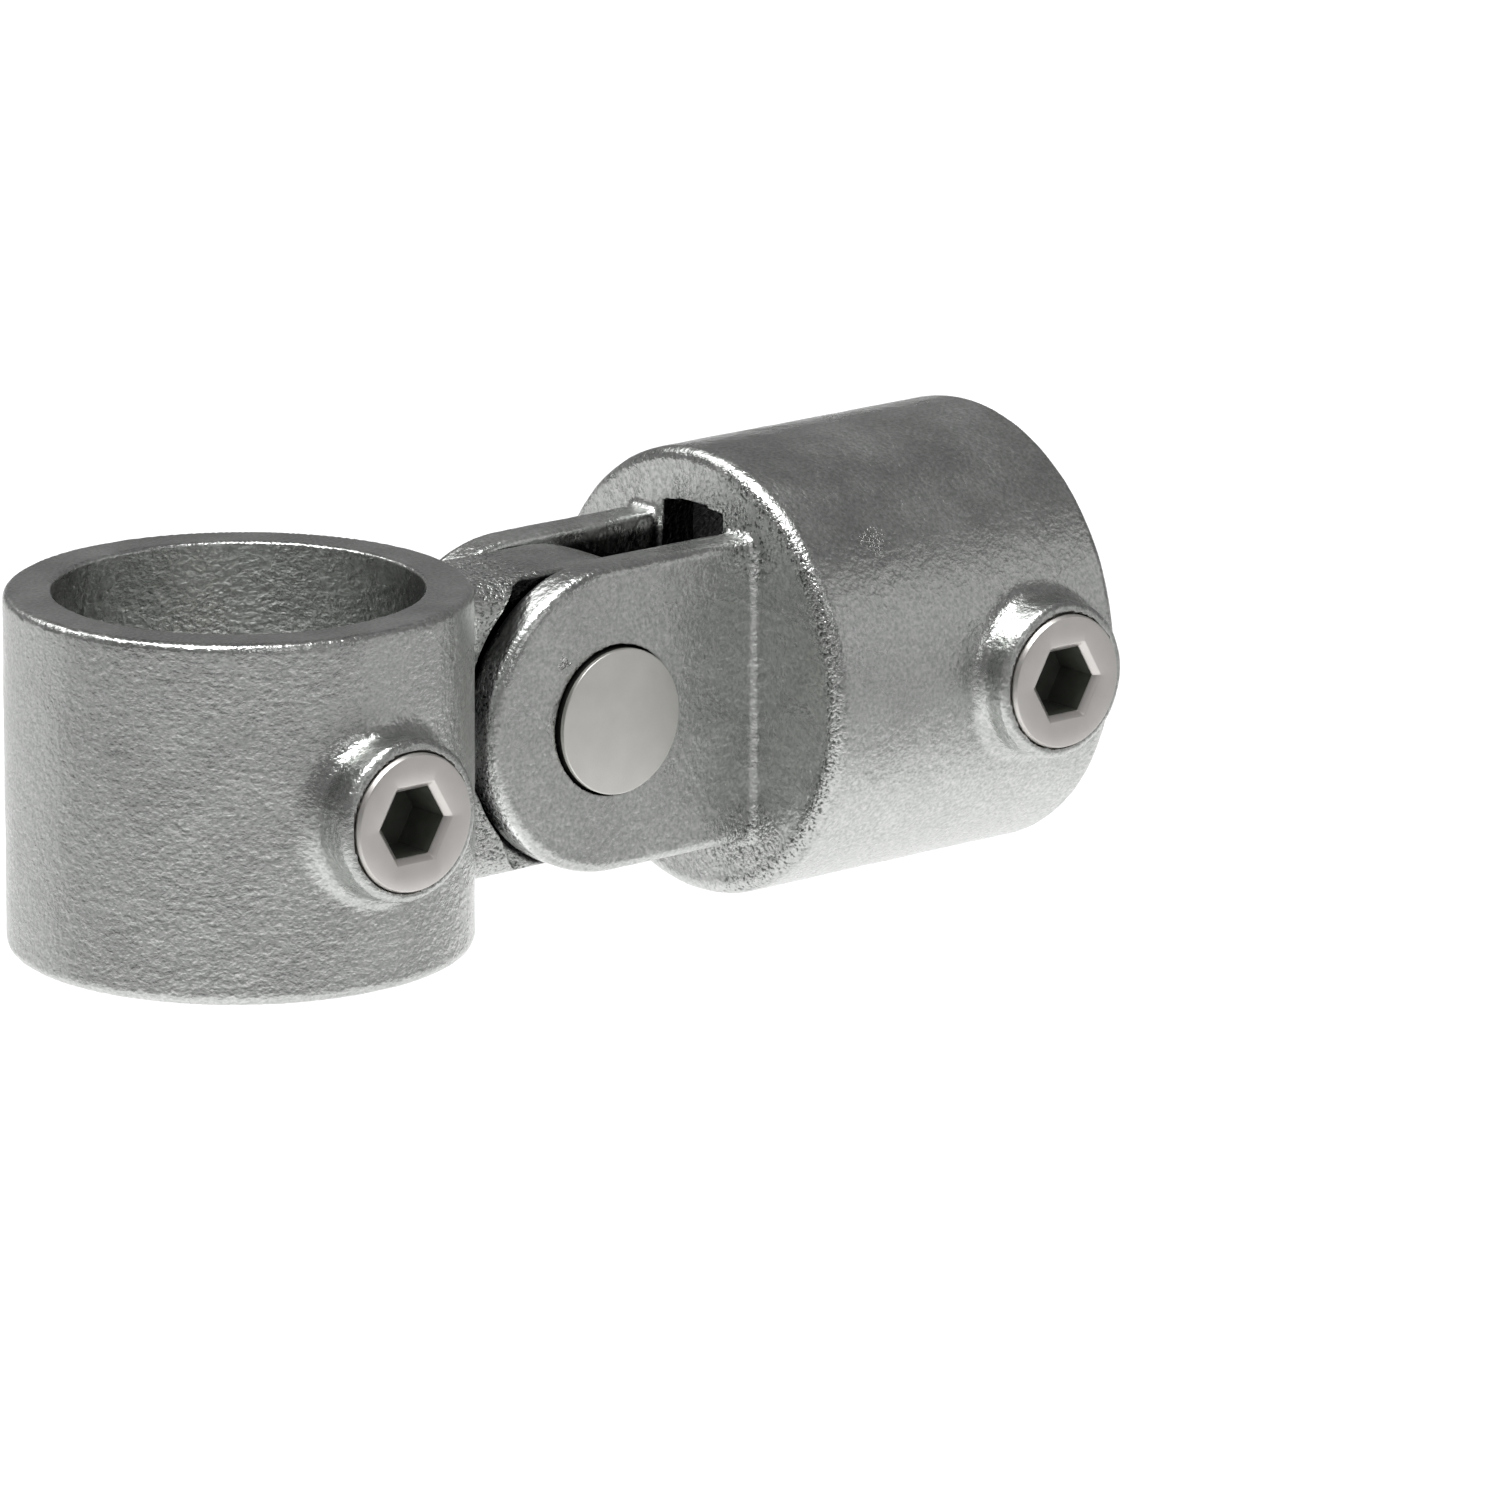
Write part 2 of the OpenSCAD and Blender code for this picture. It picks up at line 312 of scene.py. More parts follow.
def surface_net(field, low, high):
    """Points and quads of the surface where the field is zero, with two spare cells round the box."""
    axes = []
    for start, stop in zip(low, high):
        steps = math.ceil((stop - start + 4 * CELL) / CELL / COARSE) * COARSE
        axes.append(start - 2 * CELL + CELL * np.arange(steps + 1))
    values = grid_values(field, axes)
    inside = values < 0
    wide, deep, tall = (count - 1 for count in inside.shape)
    corners = sum(inside[i:wide + i, j:deep + j, k:tall + k].astype(np.int8)
                  for i in (0, 1) for j in (0, 1) for k in (0, 1))
    active = (corners > 0) & (corners < 8)
    cells = np.argwhere(active)
    index = np.full(active.shape, -1, np.int64)
    index[active] = np.arange(len(cells))
    origin = np.array([axis[0] for axis in axes])
    points = origin + CELL * net_points(values, cells)
    return pull_to_surface(field, points), net_faces(inside, index)


# Cast relief: how deep the lumps of each size go, and the size of the lumps
RELIEF = ((0.035, 3.2), (0.022, 1.5))
LATTICE_SIDE = 32
RELIEF_STEP = 0.1
# How much of the relief a machined rim loses
MACHINED_LOSS = 0.9
# How much longer the step is that takes the normals near a machined rim
RIM_STEP = 0.2


def lattice_noise(points, size, seed):
    """Smooth noise from -1 to 1 with lumps of about the given size."""
    lattice = np.random.default_rng(seed).uniform(-1, 1, (LATTICE_SIDE, LATTICE_SIDE, LATTICE_SIDE))
    scaled = points / size
    base = np.floor(scaled).astype(int)
    part = scaled - base
    part = part * part * (3 - 2 * part)
    total = np.zeros(len(points))
    for i in (0, 1):
        for j in (0, 1):
            for k in (0, 1):
                weight = np.prod(np.abs(1 - np.array((i, j, k)) - part), axis=1)
                corner = (base + (i, j, k)) % LATTICE_SIDE
                total += weight * lattice[tuple(corner.T)]
    return total


def cast_relief(x, y, z):
    """How far the cast skin lies below the ideal surface."""
    points = np.stack([x, y, z], axis=1)
    return sum(depth * (1 + lattice_noise(points, size, seed)) for seed, (depth, size) in enumerate(RELIEF))


# Painted shade on the collar casting: how dark it is beside the tongue, by the ears' ends, and on the neck's
# sides
GROOVE_DARK = 0.98
GROOVE_BAND = (TONGUE_HALF - 0.3, TONGUE_HALF, TONGUE_HALF + 0.4, NECK_HALF)
GROOVE_FADE = 0.5
GROOVE_LOW_R = EAR_R + 0.2
GROOVE_WIDER = 1.3
GROOVE_WIDER_Z = (-4, 4)
NECK_DARK = 0.5
NECK_SIDES = (NECK_HALF - 1.5, NECK_HALF)
NECK_REACH = (SHOULDER_R + 0.5, SHOULDER_R + 4)
NECK_DARK_Z = (-8, -2, 9, 15)


def collar_painted_shade(x, y, z):
    """Painted shade on the collar casting, as a factor on its colour: dark beside the tongue by the ears'
    ends, less dark on the neck's sides.
    """
    from_pin = np.hypot(x - PIN_X, z)
    reach = GROOVE_LOW_R + GROOVE_WIDER * ramp(z, *GROOVE_WIDER_Z)
    groove = band(np.abs(y), *GROOVE_BAND) * (1 - ramp(from_pin, reach, reach + GROOVE_FADE))
    sides = ramp(np.abs(y), *NECK_SIDES) * (1 - ramp(from_pin, *NECK_REACH)) * band(z, *NECK_DARK_Z)
    return np.where(x > BORE_R, 1 - GROOVE_DARK * groove - NECK_DARK * sides, 1)


# The round ears' sides close to the collar: depth below the fork's faces, radius and height
EAR_SIDE_DEPTH = (0.3, 1.6)
EAR_SIDE_R = (EAR_R - 1.2, EAR_R - 0.4)
EAR_SIDE_Z = (-16, -11, 7, 12)
EAR_SIDE_INNER = SLOT_HALF + 1


def ear_side(x, y, z):
    """1 on the round ears' sides where they stand close to the collar."""
    between = ramp(FORK_HALF - np.abs(y), *EAR_SIDE_DEPTH) * (np.abs(y) > EAR_SIDE_INNER)
    round_end = (x < PIN_X) * ramp(np.hypot(x - PIN_X, z), *EAR_SIDE_R)
    return between * round_end * band(z, *EAR_SIDE_Z)


# Painted light and shade on the socket casting: how dark the painted shade makes it where light does not
# reach, and how much brighter painted light makes other places
SOCKET_DARK = 0.995
MARGIN = 0.1
EARS_DARK_DEPTH = (1.3, 2.3)
SLOT_DARK_X = (END_X + 0.1, END_X + 0.4)
CUP_FADE = (20, 38)
CUP_NEAR_DARK = 0.55
CUP_NEAR_Y = (-12, 0)
EAR_SIDE_PAINTED_LIGHT = 1.2
END_PAINTED_LIGHT = 0.15
END_GAIN_Z = (12, 20)
END_GAIN_Y = (-9, -3)
PIN_RING_PAINTED_SHADE = 0.9
PIN_RING_R = (PIN_HOLE_R + 0.2, PIN_HOLE_R + 0.45)


def socket_painted_light(x, y, z):
    """Painted light and shade on the socket casting, as a factor on its colour: painted shade between the
    ears, in the slot, deep in the cup and round the pin, painted light on the ears' round sides and the end
    face.
    """
    from_axis = np.hypot(y, z)
    from_pin = np.hypot(x - PIN_X, z)
    on_end = x < END_X + 3 * MARGIN
    edge_depth = EAR_R - np.hypot(np.minimum(x - PIN_X, 0), z)
    ears = ramp(edge_depth, *EARS_DARK_DEPTH) * (np.abs(y) < SLOT_HALF + MARGIN) * on_end
    slot = ramp(x, *SLOT_DARK_X) * (x < CAVITY_X + MARGIN)
    slot = slot * (np.abs(y) < SLOT_HALF) * (from_axis < SLOT_ARC_R + 2 * MARGIN)
    cup = (1 - ramp(x - CAVITY_X, *CUP_FADE)) * (x > CAVITY_X - MARGIN) * (from_axis < BORE_R + MARGIN)
    cup = cup * (CUP_NEAR_DARK + (1 - CUP_NEAR_DARK) * ramp(y, *CUP_NEAR_Y))
    dark = np.maximum(np.maximum(ears, slot), cup)
    # Painted light on the upper near part of the closed end's face
    end_face = on_end * ramp(z, *END_GAIN_Z) * ramp(y, *END_GAIN_Y)
    # Painted shadow of the narrow gap round the pin, as a dark ring on the ears' faces
    pin_ring_shade = (1 - ramp(from_pin, *PIN_RING_R)) * (x < END_X)
    light = 1 - SOCKET_DARK * dark + EAR_SIDE_PAINTED_LIGHT * ear_side(x, y, z) + END_PAINTED_LIGHT * end_face
    return light * (1 - PIN_RING_PAINTED_SHADE * pin_ring_shade)


# Flat rims: where the machined surface starts and is full, and the wider zone with softer normals
COLLAR_MACHINED = (COLLAR_HALF - 0.10, COLLAR_HALF - 0.03)
SOCKET_MACHINED = (MOUTH_X - 0.25, MOUTH_X - 0.08)
COLLAR_RIMS = (COLLAR_HALF - 1.5, COLLAR_HALF - 1.0)
SOCKET_RIM = (MOUTH_X - 1.8, MOUTH_X - 1.3)


def collar_machined(x, y, z):
    """How smooth the collar casting is: 1 on its two flat rims."""
    return ramp(np.abs(z), *COLLAR_MACHINED)


def socket_machined(x, y, z):
    """How smooth the socket casting is: 1 on the flat rim of its mouth."""
    return ramp(x, *SOCKET_MACHINED)


def collar_near_rim(x, y, z):
    """1 close to the collar's flat rims."""
    return ramp(np.abs(z), *COLLAR_RIMS)


def socket_near_rim(x, y, z):
    """1 close to the flat rim of the socket's mouth."""
    return ramp(x, *SOCKET_RIM)


# Coarse zinc on the neck, at the ears' roots, on their round sides and on the near rim: how coarse, and
# where. The material also paints dark pits of shade where the zinc is coarse.
NECK_COARSE = 0.7
NECK_COARSE_R = (EAR_R - 0.5, EAR_R + 1, SHOULDER_R + 1, SHOULDER_R + 8)
NECK_START_X = 20
CORNER_COARSE = 0.7
CORNER_FADE = (1.5, 7)
CORNER_INNER = 4
FAR_SIDE_LOSS = 0.8
FAR_SIDE_Y = (0, 6)
EAR_SIDE_COARSE = 0.8
RIM_COARSE = 0.8
RIM_INSET = 1.4
RIM_FADE = (0.5, 1.6)
RIM_DEPTH = 2.2
RIM_NEAR_Y = (-9, -2)


def collar_coarse(x, y, z):
    """How coarse the collar's skin is: most on the neck beside the hinge."""
    from_pin = np.hypot(x - PIN_X, z)
    return NECK_COARSE * band(from_pin, *NECK_COARSE_R) * (x > NECK_START_X)


def socket_coarse(x, y, z):
    """How coarse the socket's skin is: most at the ears' roots, on their round sides and the near rim."""
    beside = np.maximum(np.maximum(np.abs(y) - FORK_HALF, CORNER_INNER - np.abs(y)), 0)
    from_corner = np.sqrt((x - END_X) ** 2 + beside ** 2 + (np.abs(z) - EAR_R) ** 2)
    corner = CORNER_COARSE * (1 - ramp(from_corner, *CORNER_FADE))
    corner = corner * (1 - FAR_SIDE_LOSS * ramp(y, *FAR_SIDE_Y))
    from_rim = np.abs(np.hypot(y, z) - CASTING_R + RIM_INSET)
    rim = RIM_COARSE * (1 - ramp(from_rim, *RIM_FADE)) * (x < END_X + RIM_DEPTH)
    rim = rim * (1 - ramp(y, *RIM_NEAR_Y))
    return np.maximum(np.maximum(corner, EAR_SIDE_COARSE * ear_side(x, y, z)), rim)


# Drops of zinc on the socket casting: each cluster's middle and radius, and where a cluster thins out
DROP_CLUSTERS = (((80.9, -20.6, 18.6), 2.2), ((39.7, -12.0, 8.1), 1.5))
CLUSTER_CORE = 0.5
CLUSTER_END = 1.3


def no_drops(x, y, z):
    """The collar casting has no drops."""
    return np.zeros(len(x))


def socket_drops(x, y, z):
    """Where small drops of zinc stand on the socket casting."""
    total = 0
    for (middle_x, middle_y, middle_z), radius in DROP_CLUSTERS:
        away = np.sqrt((x - middle_x) ** 2 + (y - middle_y) ** 2 + (z - middle_z) ** 2)
        total = total + 1 - ramp(away, CLUSTER_CORE * radius, CLUSTER_END * radius)
    return total


def new_mesh_object(name, points, faces, materials):
    """A smooth mesh from points in millimetres."""
    mesh = bpy.data.meshes.new(name)
    mesh.from_pydata((points * MM).tolist(), [], faces)
    mesh.polygons.foreach_set("use_smooth", [True] * len(mesh.polygons))
    for material in materials:
        mesh.materials.append(material)
    mesh.update()
    piece = bpy.data.objects.new(name, mesh)
    bpy.context.scene.collection.objects.link(piece)
    return piece


def make_casting(name, node, body, field, near_rim, marks, material):
    """A casting with a cast skin. The mesh keeps each mark, one number per point, for the material."""
    low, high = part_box(node)
    points, faces = surface_net(field, [c / MM for c in low], [c / MM for c in high])
    smooth = marks["machined"](*points.T)
    slope = gradient(field, points, SLOPE_STEP + RIM_STEP * near_rim(*points.T))
    slope /= np.linalg.norm(slope, axis=1)[:, None]

    def relief(x, y, z):
        return cast_relief(x, y, z) * (1 - MACHINED_LOSS * smooth)

    bent = slope + gradient(relief, points, RELIEF_STEP)
    skin = points - slope * relief(*points.T)[:, None]
    piece = new_mesh_object(name, skin, faces.tolist(), [material])
    piece.data.normals_split_custom_set_from_vertices(bent / np.linalg.norm(bent, axis=1)[:, None])
    for mark, values in marks.items():
        kept = piece.data.attributes.new(mark, "FLOAT", "POINT")
        kept.data.foreach_set("value", values(*points.T).astype(np.float32))
    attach(piece, body)
    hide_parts(node)


# Turned pieces: rings of points round an axis along -Y, from the inside of the face to the tip

SIDES = 120
TURN = np.arange(SIDES) * 2 * math.pi / SIDES


def ring(radius, out):
    """A closed ring. The radius is one number, or one for each point."""
    return np.stack([radius * np.cos(TURN), np.full(SIDES, -out), radius * np.sin(TURN)], axis=1)


def hexagon_ring(apothem, out):
    """A hexagon with two corners on the X axis."""
    sixth = math.pi / 3
    return ring(apothem / np.cos(TURN % sixth - sixth / 2), out)


def ring_mesh(name, rings, centre_x, materials, shade_bands, sharp_angle):
    """Skins the rings in order and closes both ends. The bands of painted shade take the second material."""
    first = np.array([[0, rings[0][:, 1].mean(), 0]])
    final = np.array([[0, rings[-1][:, 1].mean(), 0]])
    points = np.concatenate([first] + rings + [final]) + (centre_x, 0, 0)
    faces = []
    last = len(points) - 1
    for side in range(SIDES):
        after = (side + 1) % SIDES
        faces.append((0, 1 + after, 1 + side))
        for number in range(len(rings) - 1):
            near = 1 + number * SIDES
            far = near + SIDES
            faces.append((near + side, near + after, far + after, far + side))
        faces.append((last, last - SIDES + side, last - SIDES + after))
    piece = new_mesh_object(name, points, faces, materials)
    bands = len(rings) + 1
    for number, face in enumerate(piece.data.polygons):
        face.material_index = int(number % bands in shade_bands)
    piece.data.set_sharp_from_angle(angle=math.radians(sharp_angle))
    return piece


# The set screws

HEX_APOTHEM = 4.0
HEX_DEPTH = 6.5
HEX_CHAMFER = 0.75
FACE_EDGE = 0.27
FACE_SLOPE = 0.6
TIP_EDGE = 1.0
CUP_R = 5.0
CUP_DEPTH = 1.5
# Half the width of a softened edge
SOFT = 0.06
THREAD_PITCH = 1.337
THREAD_DEPTH = 0.8
THREAD_FULLNESS = 0.8
THREAD_START = 0.5
# Rings in one turn of the thread, and rings over which it deepens behind the face and fades at the tip
PITCH_RINGS = 10
DEEPENING_RINGS = 8
FADING_RINGS = 6
# The bands painted with shade: the hexagon's floor, the floor's edge and the walls
HEX_SHADE_BANDS = range(3)
SCREW_SHARP = 30


def thread_ring(crest, depth, out):
    """One cross-section of a thread, whose crests and roots are rounded."""
    phase = (out / THREAD_PITCH + TURN / (2 * math.pi)) % 1
    bite = depth * (0.5 - 0.5 * np.cos(2 * math.pi * phase)) ** THREAD_FULLNESS
    return ring(crest - bite, out)


def make_set_screw(name, node, body, materials):
    """A headless screw with a hexagon socket, a thread and a cup point."""
    low, high = (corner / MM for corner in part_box(node))
    face = -low.y
    tip = -high.y
    crest = (high.x - low.x) / 2
    rings = [
        hexagon_ring(HEX_APOTHEM - SOFT, face - HEX_DEPTH),
        hexagon_ring(HEX_APOTHEM, face - HEX_DEPTH + SOFT),
        hexagon_ring(HEX_APOTHEM, face - HEX_CHAMFER - SOFT),
        hexagon_ring(HEX_APOTHEM + SOFT, face - HEX_CHAMFER + SOFT),
        hexagon_ring(HEX_APOTHEM + HEX_CHAMFER - SOFT, face - SOFT),
        hexagon_ring(HEX_APOTHEM + HEX_CHAMFER + SOFT, face),
        ring(crest - FACE_EDGE - SOFT, face),
        ring(crest - FACE_EDGE + SOFT, face - SOFT),
        ring(crest - SOFT / 2, face - FACE_SLOPE + SOFT),
        ring(crest, face - FACE_SLOPE - SOFT),
    ]
    start = face - FACE_SLOPE - THREAD_START
    stop = tip + TIP_EDGE
    steps = math.ceil((start - stop) / THREAD_PITCH * PITCH_RINGS)
    for step in range(steps + 1):
        out = start + (stop - start) * step / steps
        depth = THREAD_DEPTH * min(1, step / DEEPENING_RINGS, (steps - step) / FADING_RINGS)
        rings.append(thread_ring(crest, depth, out))
    rings += [
        ring(crest - TIP_EDGE, tip + SOFT),
        ring(crest - TIP_EDGE - SOFT, tip),
        ring(CUP_R + SOFT, tip),
        ring(CUP_R - SOFT, tip + SOFT),
        ring(CUP_R - CUP_DEPTH, tip + CUP_DEPTH),
    ]
    piece = ring_mesh(name, rings, (low.x + high.x) / 2, materials, HEX_SHADE_BANDS, SCREW_SHARP)
    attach(piece, body)
    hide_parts(node)


# The pin

PIN_EDGE = 0.15
PIN_EDGE_TURNS = (0, 30, 60, 90)
# How far the pin's own bright colour goes down its side; the rest of the side is painted shade
PIN_BRIGHT = 0.62
PIN_SHARP = 60


def make_pin(materials):
    """The pin, bright on its end faces and at its ends, and painted dark along its side as the shadow of the
    gap round it.
    """
    end = [(PIN_R - PIN_EDGE * (1 - math.sin(turn)), PIN_HALF - PIN_EDGE * (1 - math.cos(turn)))
           for turn in np.radians(PIN_EDGE_TURNS)]
    end.append((PIN_R, PIN_HALF - PIN_BRIGHT))
    rings = [ring(radius, out) for radius, out in end]
    rings += [ring(radius, -out) for radius, out in reversed(end)]
    piece = ring_mesh("pin_body", rings, PIN_X, materials, [len(end)], PIN_SHARP)
    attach(piece, "socket")
    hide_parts("pivot_pin")


# Materials: the scales of their noises are per metre, and their bumps are in metres.

# Nearly all values of a noise lie in this range.
NOISE_RANGE = (0.3, 0.7)
UNIT = (0, 1)


def node_of(tree, kind, **values):
    node = tree.nodes.new(kind)
    for key, value in values.items():
        setattr(node, key, value)
    return node


def feed(tree, value, place):
    """Gives a node's input a constant, or links a socket to it."""
    if isinstance(value, bpy.types.NodeSocket):
        tree.links.new(value, place)
    else:
        place.default_value = value


def maths(tree, operation, *values):
    """One sum, product or the like. Each value is a socket or a number."""
    node = node_of(tree, "ShaderNodeMath", operation=operation)
    for value, place in zip(values, node.inputs):
        feed(tree, value, place)
    return node.outputs["Value"]


def scaled(tree, colour, strength):
    """A colour times a strength."""
    node = node_of(tree, "ShaderNodeVectorMath", operation="SCALE")
    feed(tree, colour, node.inputs[0])
    feed(tree, strength, node.inputs["Scale"])
    return node.outputs["Vector"]


def times(tree, vector, factors):
    """A vector with each of its three numbers times its own factor."""
    node = node_of(tree, "ShaderNodeVectorMath", operation="MULTIPLY")
    feed(tree, vector, node.inputs[0])
    feed(tree, factors, node.inputs[1])
    return node.outputs["Vector"]


def towards(tree, place, direction):
    """How far a place lies in a direction."""
    node = node_of(tree, "ShaderNodeVectorMath", operation="DOT_PRODUCT")
    feed(tree, place, node.inputs[0])
    feed(tree, direction, node.inputs[1])
    return node.outputs["Value"]


def map_range(tree, value, source, target):
    node = node_of(tree, "ShaderNodeMapRange")
    for place, number in zip(("From Min", "From Max", "To Min", "To Max"), source + target):
        node.inputs[place].default_value = number
    tree.links.new(value, node.inputs["Value"])
    return node.outputs["Result"]


def smooth_range(tree, value, source, target):
    result = map_range(tree, value, source, target)
    result.node.interpolation_type = "SMOOTHSTEP"
    return result


def new_material(name, metallic):
    material = bpy.data.materials.new(name)
    material.use_nodes = True
    shader = material.node_tree.nodes["Principled BSDF"]
    shader.inputs["Metallic"].default_value = metallic
    return material, material.node_tree, shader


def object_place(tree):
    return node_of(tree, "ShaderNodeTexCoord").outputs["Object"]


def mark_of(tree, name):
    return node_of(tree, "ShaderNodeAttribute", attribute_name=name).outputs["Fac"]


def noise_of(tree, vector, scale, detail):
    noise = node_of(tree, "ShaderNodeTexNoise")
    noise.inputs["Scale"].default_value = scale
    noise.inputs["Detail"].default_value = detail
    tree.links.new(vector, noise.inputs["Vector"])
    return noise.outputs["Fac"]


def tones_of(tree, value, stops):
    """A colour between the stops, each of which is a place from 0 to 1 and its colour."""
    node = node_of(tree, "ShaderNodeValToRGB")
    for element, (place, colour) in zip(node.color_ramp.elements, stops):
        element.position = place
        element.color = (*colour, 1)
    tree.links.new(value, node.inputs["Fac"])
    return node.outputs["Color"]


def bump_of(tree, height, distance, below=None):
    """A bump of the given depth in metres, on top of the normal of the bump below it."""
    bump = node_of(tree, "ShaderNodeBump")
    bump.inputs["Distance"].default_value = distance
    tree.links.new(height, bump.inputs["Height"])
    if below:
        tree.links.new(below, bump.inputs["Normal"])
    return bump.outputs["Normal"]


PEEL_SCALE = 900
GRAIN_SCALE = 2200
CLOUD_SCALE = 130
ZINC_TONES = ((0.3, (0.44, 0.458, 0.44)), (0.7, (0.68, 0.685, 0.67)))
ZINC_ROUGHNESS = (0.22, 0.33)
CLOUD_TONE = (0.94, 1.06)
# Pits, painted with shade: how low the grain is there, and how dark the painted shade makes them in coarse
# places
PIT_GRAIN = (0.37, 0.44)
PIT_SHADE_TONE = (1, 0.12)
GRAIN_DEPTH = 0.00007
MACHINED_BUMP = (1, 0.12)
COARSE_BUMP = (1, 5)
# Drops: how much the mark adds to the grain, from which sum on a drop stands, and how high it is
DROP_LIFT = 0.3
DROP_START = (0.81, 0.93)
DROP_HEIGHT = 0.0014


def galvanised_iron(name, fineness, peel_depth):
    """Cast iron under zinc: a fine orange-peel skin, slightly uneven in tone and gloss, with the light mark's
    painted light and shade and painted shade in its pits multiplied into its colour.
    """
    material, tree, shader = new_material(name, metallic=1.0)
    place = object_place(tree)
    finer = times(tree, place, fineness)
    peel = noise_of(tree, finer, PEEL_SCALE, detail=2)
    grain = noise_of(tree, finer, GRAIN_SCALE, detail=2)
    cloud = noise_of(tree, place, CLOUD_SCALE, detail=2)
    light = mark_of(tree, "light")
    machined = mark_of(tree, "machined")
    coarse = mark_of(tree, "coarse")
    drops = mark_of(tree, "drops")

    shaded_pits = maths(tree, "MULTIPLY", coarse, smooth_range(tree, grain, PIT_GRAIN, (1, 0)))
    # The light mark paints light and shade into the colour; the cloud is the zinc's own uneven tone.
    light = maths(tree, "MULTIPLY", light, map_range(tree, cloud, NOISE_RANGE, CLOUD_TONE))
    light = maths(tree, "MULTIPLY", light, map_range(tree, shaded_pits, UNIT, PIT_SHADE_TONE))
    tree.links.new(scaled(tree, tones_of(tree, grain, ZINC_TONES), light), shader.inputs["Base Color"])
    tree.links.new(map_range(tree, cloud, NOISE_RANGE, ZINC_ROUGHNESS), shader.inputs["Roughness"])

    uneven = map_range(tree, machined, UNIT, MACHINED_BUMP)
    coarser = maths(tree, "MULTIPLY", uneven, map_range(tree, coarse, UNIT, COARSE_BUMP))
    lifted = maths(tree, "MULTIPLY_ADD", drops, DROP_LIFT, grain)
    skin = bump_of(tree, maths(tree, "MULTIPLY", peel, uneven), peel_depth)
    skin = bump_of(tree, maths(tree, "MULTIPLY", grain, coarser), GRAIN_DEPTH, skin)
    skin = bump_of(tree, smooth_range(tree, lifted, DROP_START, UNIT), DROP_HEIGHT, skin)
    tree.links.new(skin, shader.inputs["Normal"])
    return material


STEEL_GRAIN_SCALE = 5000
STEEL_CLOUD_SCALE = 300
STEEL_TONE = (0.97, 1.03)
STEEL_UNEVEN = 0.04
STEEL_GRAIN_DEPTH = 0.00001


def satin_steel(name, colour, roughness):
    """Turned steel with a fine even grain."""
    material, tree, shader = new_material(name, metallic=1.0)
    place = object_place(tree)
    grain = noise_of(tree, place, STEEL_GRAIN_SCALE, detail=1)
    cloud = noise_of(tree, place, STEEL_CLOUD_SCALE, detail=2)
    tone = map_range(tree, cloud, NOISE_RANGE, STEEL_TONE)
    gloss = map_range(tree, grain, NOISE_RANGE, (roughness - STEEL_UNEVEN, roughness + STEEL_UNEVEN))
    tree.links.new(scaled(tree, colour, tone), shader.inputs["Base Color"])
    tree.links.new(gloss, shader.inputs["Roughness"])
    tree.links.new(bump_of(tree, grain, STEEL_GRAIN_DEPTH), shader.inputs["Normal"])
    return material


# The hexagon socket's painted shade: how fine its mottle is, its dark tones and its gloss
RECESS_SHADE_SCALE = 700
RECESS_SHADE_TONES = ((0, (0.06, 0.066, 0.052)), (1, (0.11, 0.118, 0.10)))
RECESS_SHADE_ROUGHNESS = 0.6
RECESS_SHADE_SPECULAR = 0.2


def painted_recess_shade():
    """The screw's hexagon socket, painted dark as the shade inside it, with a slight mottle."""
    material, tree, shader = new_material("painted_recess_shade", metallic=0.0)
    mottle = noise_of(tree, object_place(tree), RECESS_SHADE_SCALE, detail=2)
    tree.links.new(tones_of(tree, mottle, RECESS_SHADE_TONES), shader.inputs["Base Color"])
    shader.inputs["Roughness"].default_value = RECESS_SHADE_ROUGHNESS
    shader.inputs["Specular IOR Level"].default_value = RECESS_SHADE_SPECULAR
    return material


# The pieces

# How much finer each zinc skin is along each axis, and how deep its peel is, in metres
COLLAR_FINENESS = (1, 1, 1.4)
COLLAR_PEEL = 0.00018
SOCKET_FINENESS = (1, 1, 1)
SOCKET_PEEL = 0.00014
PIN_COLOUR = (0.80, 0.785, 0.75)
PIN_SIDE_SHADE_COLOUR = (0.07, 0.07, 0.065)
SCREW_COLOUR = (0.75, 0.72, 0.695)

# The light mark is painted light and shade, multiplied into the zinc's colour.
collar_marks = {
    "light": collar_painted_shade,
    "machined": collar_machined,
    "coarse": collar_coarse,
    "drops": no_drops,
}
socket_marks = {
    "light": socket_painted_light,
    "machined": socket_machined,
    "coarse": socket_coarse,
    "drops": socket_drops,
}
make_casting("collar_body", "collar_casting", "collar", collar_field, collar_near_rim, collar_marks,
             galvanised_iron("galvanised_collar", COLLAR_FINENESS, COLLAR_PEEL))
make_casting("socket_body", "socket_casting", "socket", socket_field, socket_near_rim, socket_marks,
             galvanised_iron("galvanised_socket", SOCKET_FINENESS, SOCKET_PEEL))
# The pin's second material is painted shade along its side
make_pin([satin_steel("pin_steel", PIN_COLOUR, roughness=0.42),
          satin_steel("pin_side_shade", PIN_SIDE_SHADE_COLOUR, roughness=0.5)])
# The screws' second material is painted shade in the hexagon socket
screw_materials = [satin_steel("screw_steel", SCREW_COLOUR, roughness=0.40), painted_recess_shade()]
make_set_screw("collar_screw_body", "collar_set_screw", "collar_screw", screw_materials)
make_set_screw("socket_screw_body", "socket_set_screw", "socket_screw", screw_materials)

# Floor, lights and camera

CAMERA_PLACE = (-752.70, -989.09, 336.04)
CAMERA_AZIMUTH = math.radians(-40.05)
CAMERA_ELEVATION = math.radians(15.055)
CAMERA_ROLL = math.radians(0.248)
CAMERA_LENS = 261.29
SENSOR_WIDTH = 36

# The floor's lengths are in metres.
FLOOR_Z = -0.2
FLOOR_SIZE = 40.0
FLOOR_ROUGHNESS = 0.9
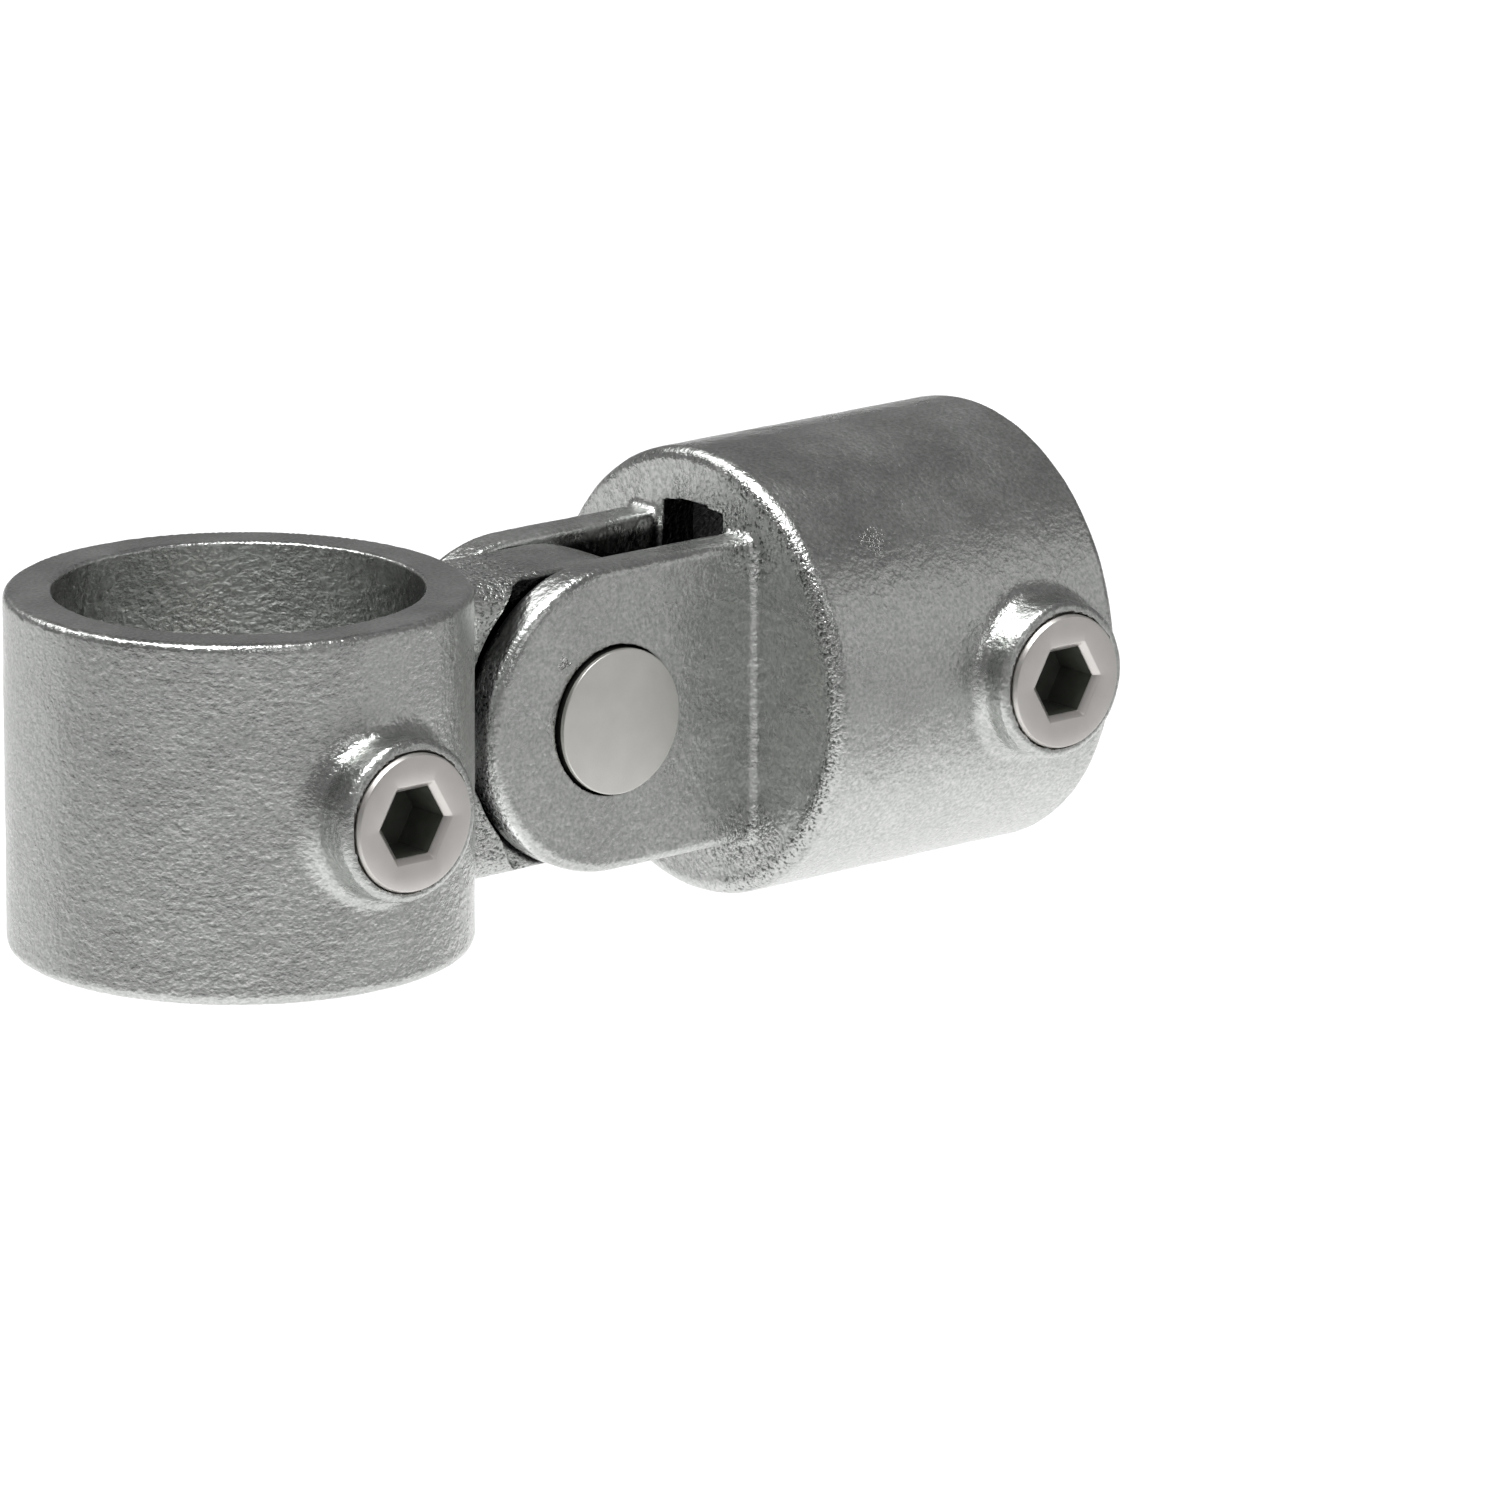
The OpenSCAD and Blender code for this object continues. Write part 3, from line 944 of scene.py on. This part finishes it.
# The floor's painted fall-off of light: its tone near the object and at its greyest, and how far out the
# change starts and ends
FLOOR_TONE = 0.96
FLOOR_FAR_TONE = 0.40
FLOOR_FADE = (0.16, 0.50)

# Where the painted fall-off turns the floor grey: the direction from the middle, where that starts and ends,
# and how far it goes
FLOOR_FALLOFF_SIDES = (
    ((math.sin(CAMERA_AZIMUTH), -math.cos(CAMERA_AZIMUTH), 0), -0.28, -0.02, 1.0),
    ((math.cos(CAMERA_AZIMUTH), math.sin(CAMERA_AZIMUTH), 0), 0.28, 0.58, 1.0),
    ((-math.cos(CAMERA_AZIMUTH), -math.sin(CAMERA_AZIMUTH), 0), 0.18, 0.48, 0.62),
)


def make_floor():
    """A pale floor with painted fall-off of light: white below and behind the object and light grey in front
    and at the sides.
    """
    mesh = bpy.data.meshes.new("floor")
    half = FLOOR_SIZE / 2
    corners = [(x, y, FLOOR_Z) for x, y in ((-half, -half), (half, -half), (half, half), (-half, half))]
    mesh.from_pydata(corners, [], [(0, 1, 2, 3)])
    floor = bpy.data.objects.new("floor", mesh)
    bpy.context.scene.collection.objects.link(floor)
    material, tree, shader = new_material("floor", metallic=0.0)
    shader.inputs["Roughness"].default_value = FLOOR_ROUGHNESS
    shader.inputs["Specular IOR Level"].default_value = 0.0
    place = object_place(tree)
    painted_falloff = 0.0
    for direction, start, end, most in FLOOR_FALLOFF_SIDES:
        side = smooth_range(tree, towards(tree, place, direction), (start, end), (0, most))
        painted_falloff = maths(tree, "MAXIMUM", painted_falloff, side)
    reach = node_of(tree, "ShaderNodeVectorMath", operation="LENGTH")
    tree.links.new(times(tree, place, (1, 1, 0)), reach.inputs[0])
    far_off = smooth_range(tree, reach.outputs["Value"], FLOOR_FADE, UNIT)
    tone = map_range(tree, maths(tree, "MULTIPLY", painted_falloff, far_off), UNIT, (FLOOR_TONE, FLOOR_FAR_TONE))
    tree.links.new(tone, shader.inputs["Base Color"])
    mesh.materials.append(material)


DOME_STRENGTH = 0.20
# Each lamp panel: its direction, the angles from it at which it is full and gone, and its strength
PANELS = (
    ((-0.18, 0.06, 0.98), 10, 24, 8.5),
    ((-0.14, 0.60, 0.78), 8, 24, 2.5),
    ((-0.20, -0.82, 0.53), 4, 15, 1.3),
    ((0.62, -0.72, 0.33), 6, 28, 0.42),
)


def make_studio():
    """A dim even dome, with a strong lamp overhead and weaker lamps behind, in front and on the right."""
    world = bpy.data.worlds.new("studio")
    bpy.context.scene.world = world
    world.use_nodes = True
    tree = world.node_tree
    background = tree.nodes["Background"]
    background.inputs["Color"].default_value = (1, 1, 1, 1)
    sky = node_of(tree, "ShaderNodeTexCoord").outputs["Generated"]
    total = DOME_STRENGTH
    for direction, full, gone, strength in PANELS:
        lamp = towards(tree, sky, Vector(direction).normalized())
        edge = (math.cos(math.radians(gone)), math.cos(math.radians(full)))
        total = maths(tree, "ADD", smooth_range(tree, lamp, edge, (0, strength)), total)
    tree.links.new(total, background.inputs["Strength"])


def make_camera():
    """The camera at the photograph's viewpoint."""
    data = bpy.data.cameras.new("camera")
    data.sensor_width = SENSOR_WIDTH
    data.lens = CAMERA_LENS
    data.clip_start = 0.05
    data.clip_end = 100
    camera = bpy.data.objects.new("camera", data)
    bpy.context.scene.collection.objects.link(camera)
    back = Vector((math.sin(CAMERA_AZIMUTH) * math.cos(CAMERA_ELEVATION),
                   -math.cos(CAMERA_AZIMUTH) * math.cos(CAMERA_ELEVATION),
                   math.sin(CAMERA_ELEVATION)))
    level = Vector((0, 0, 1)).cross(back).normalized()
    upright = back.cross(level)
    right = level * math.cos(CAMERA_ROLL) + upright * math.sin(CAMERA_ROLL)
    up = back.cross(right)
    turn = Matrix((right, up, back)).transposed().to_4x4()
    camera.matrix_world = Matrix.Translation(Vector(CAMERA_PLACE) * MM) @ turn
    return camera


make_floor()
make_studio()
bpy.context.scene.camera = make_camera()
bpy.context.scene.view_settings.view_transform = "Standard"
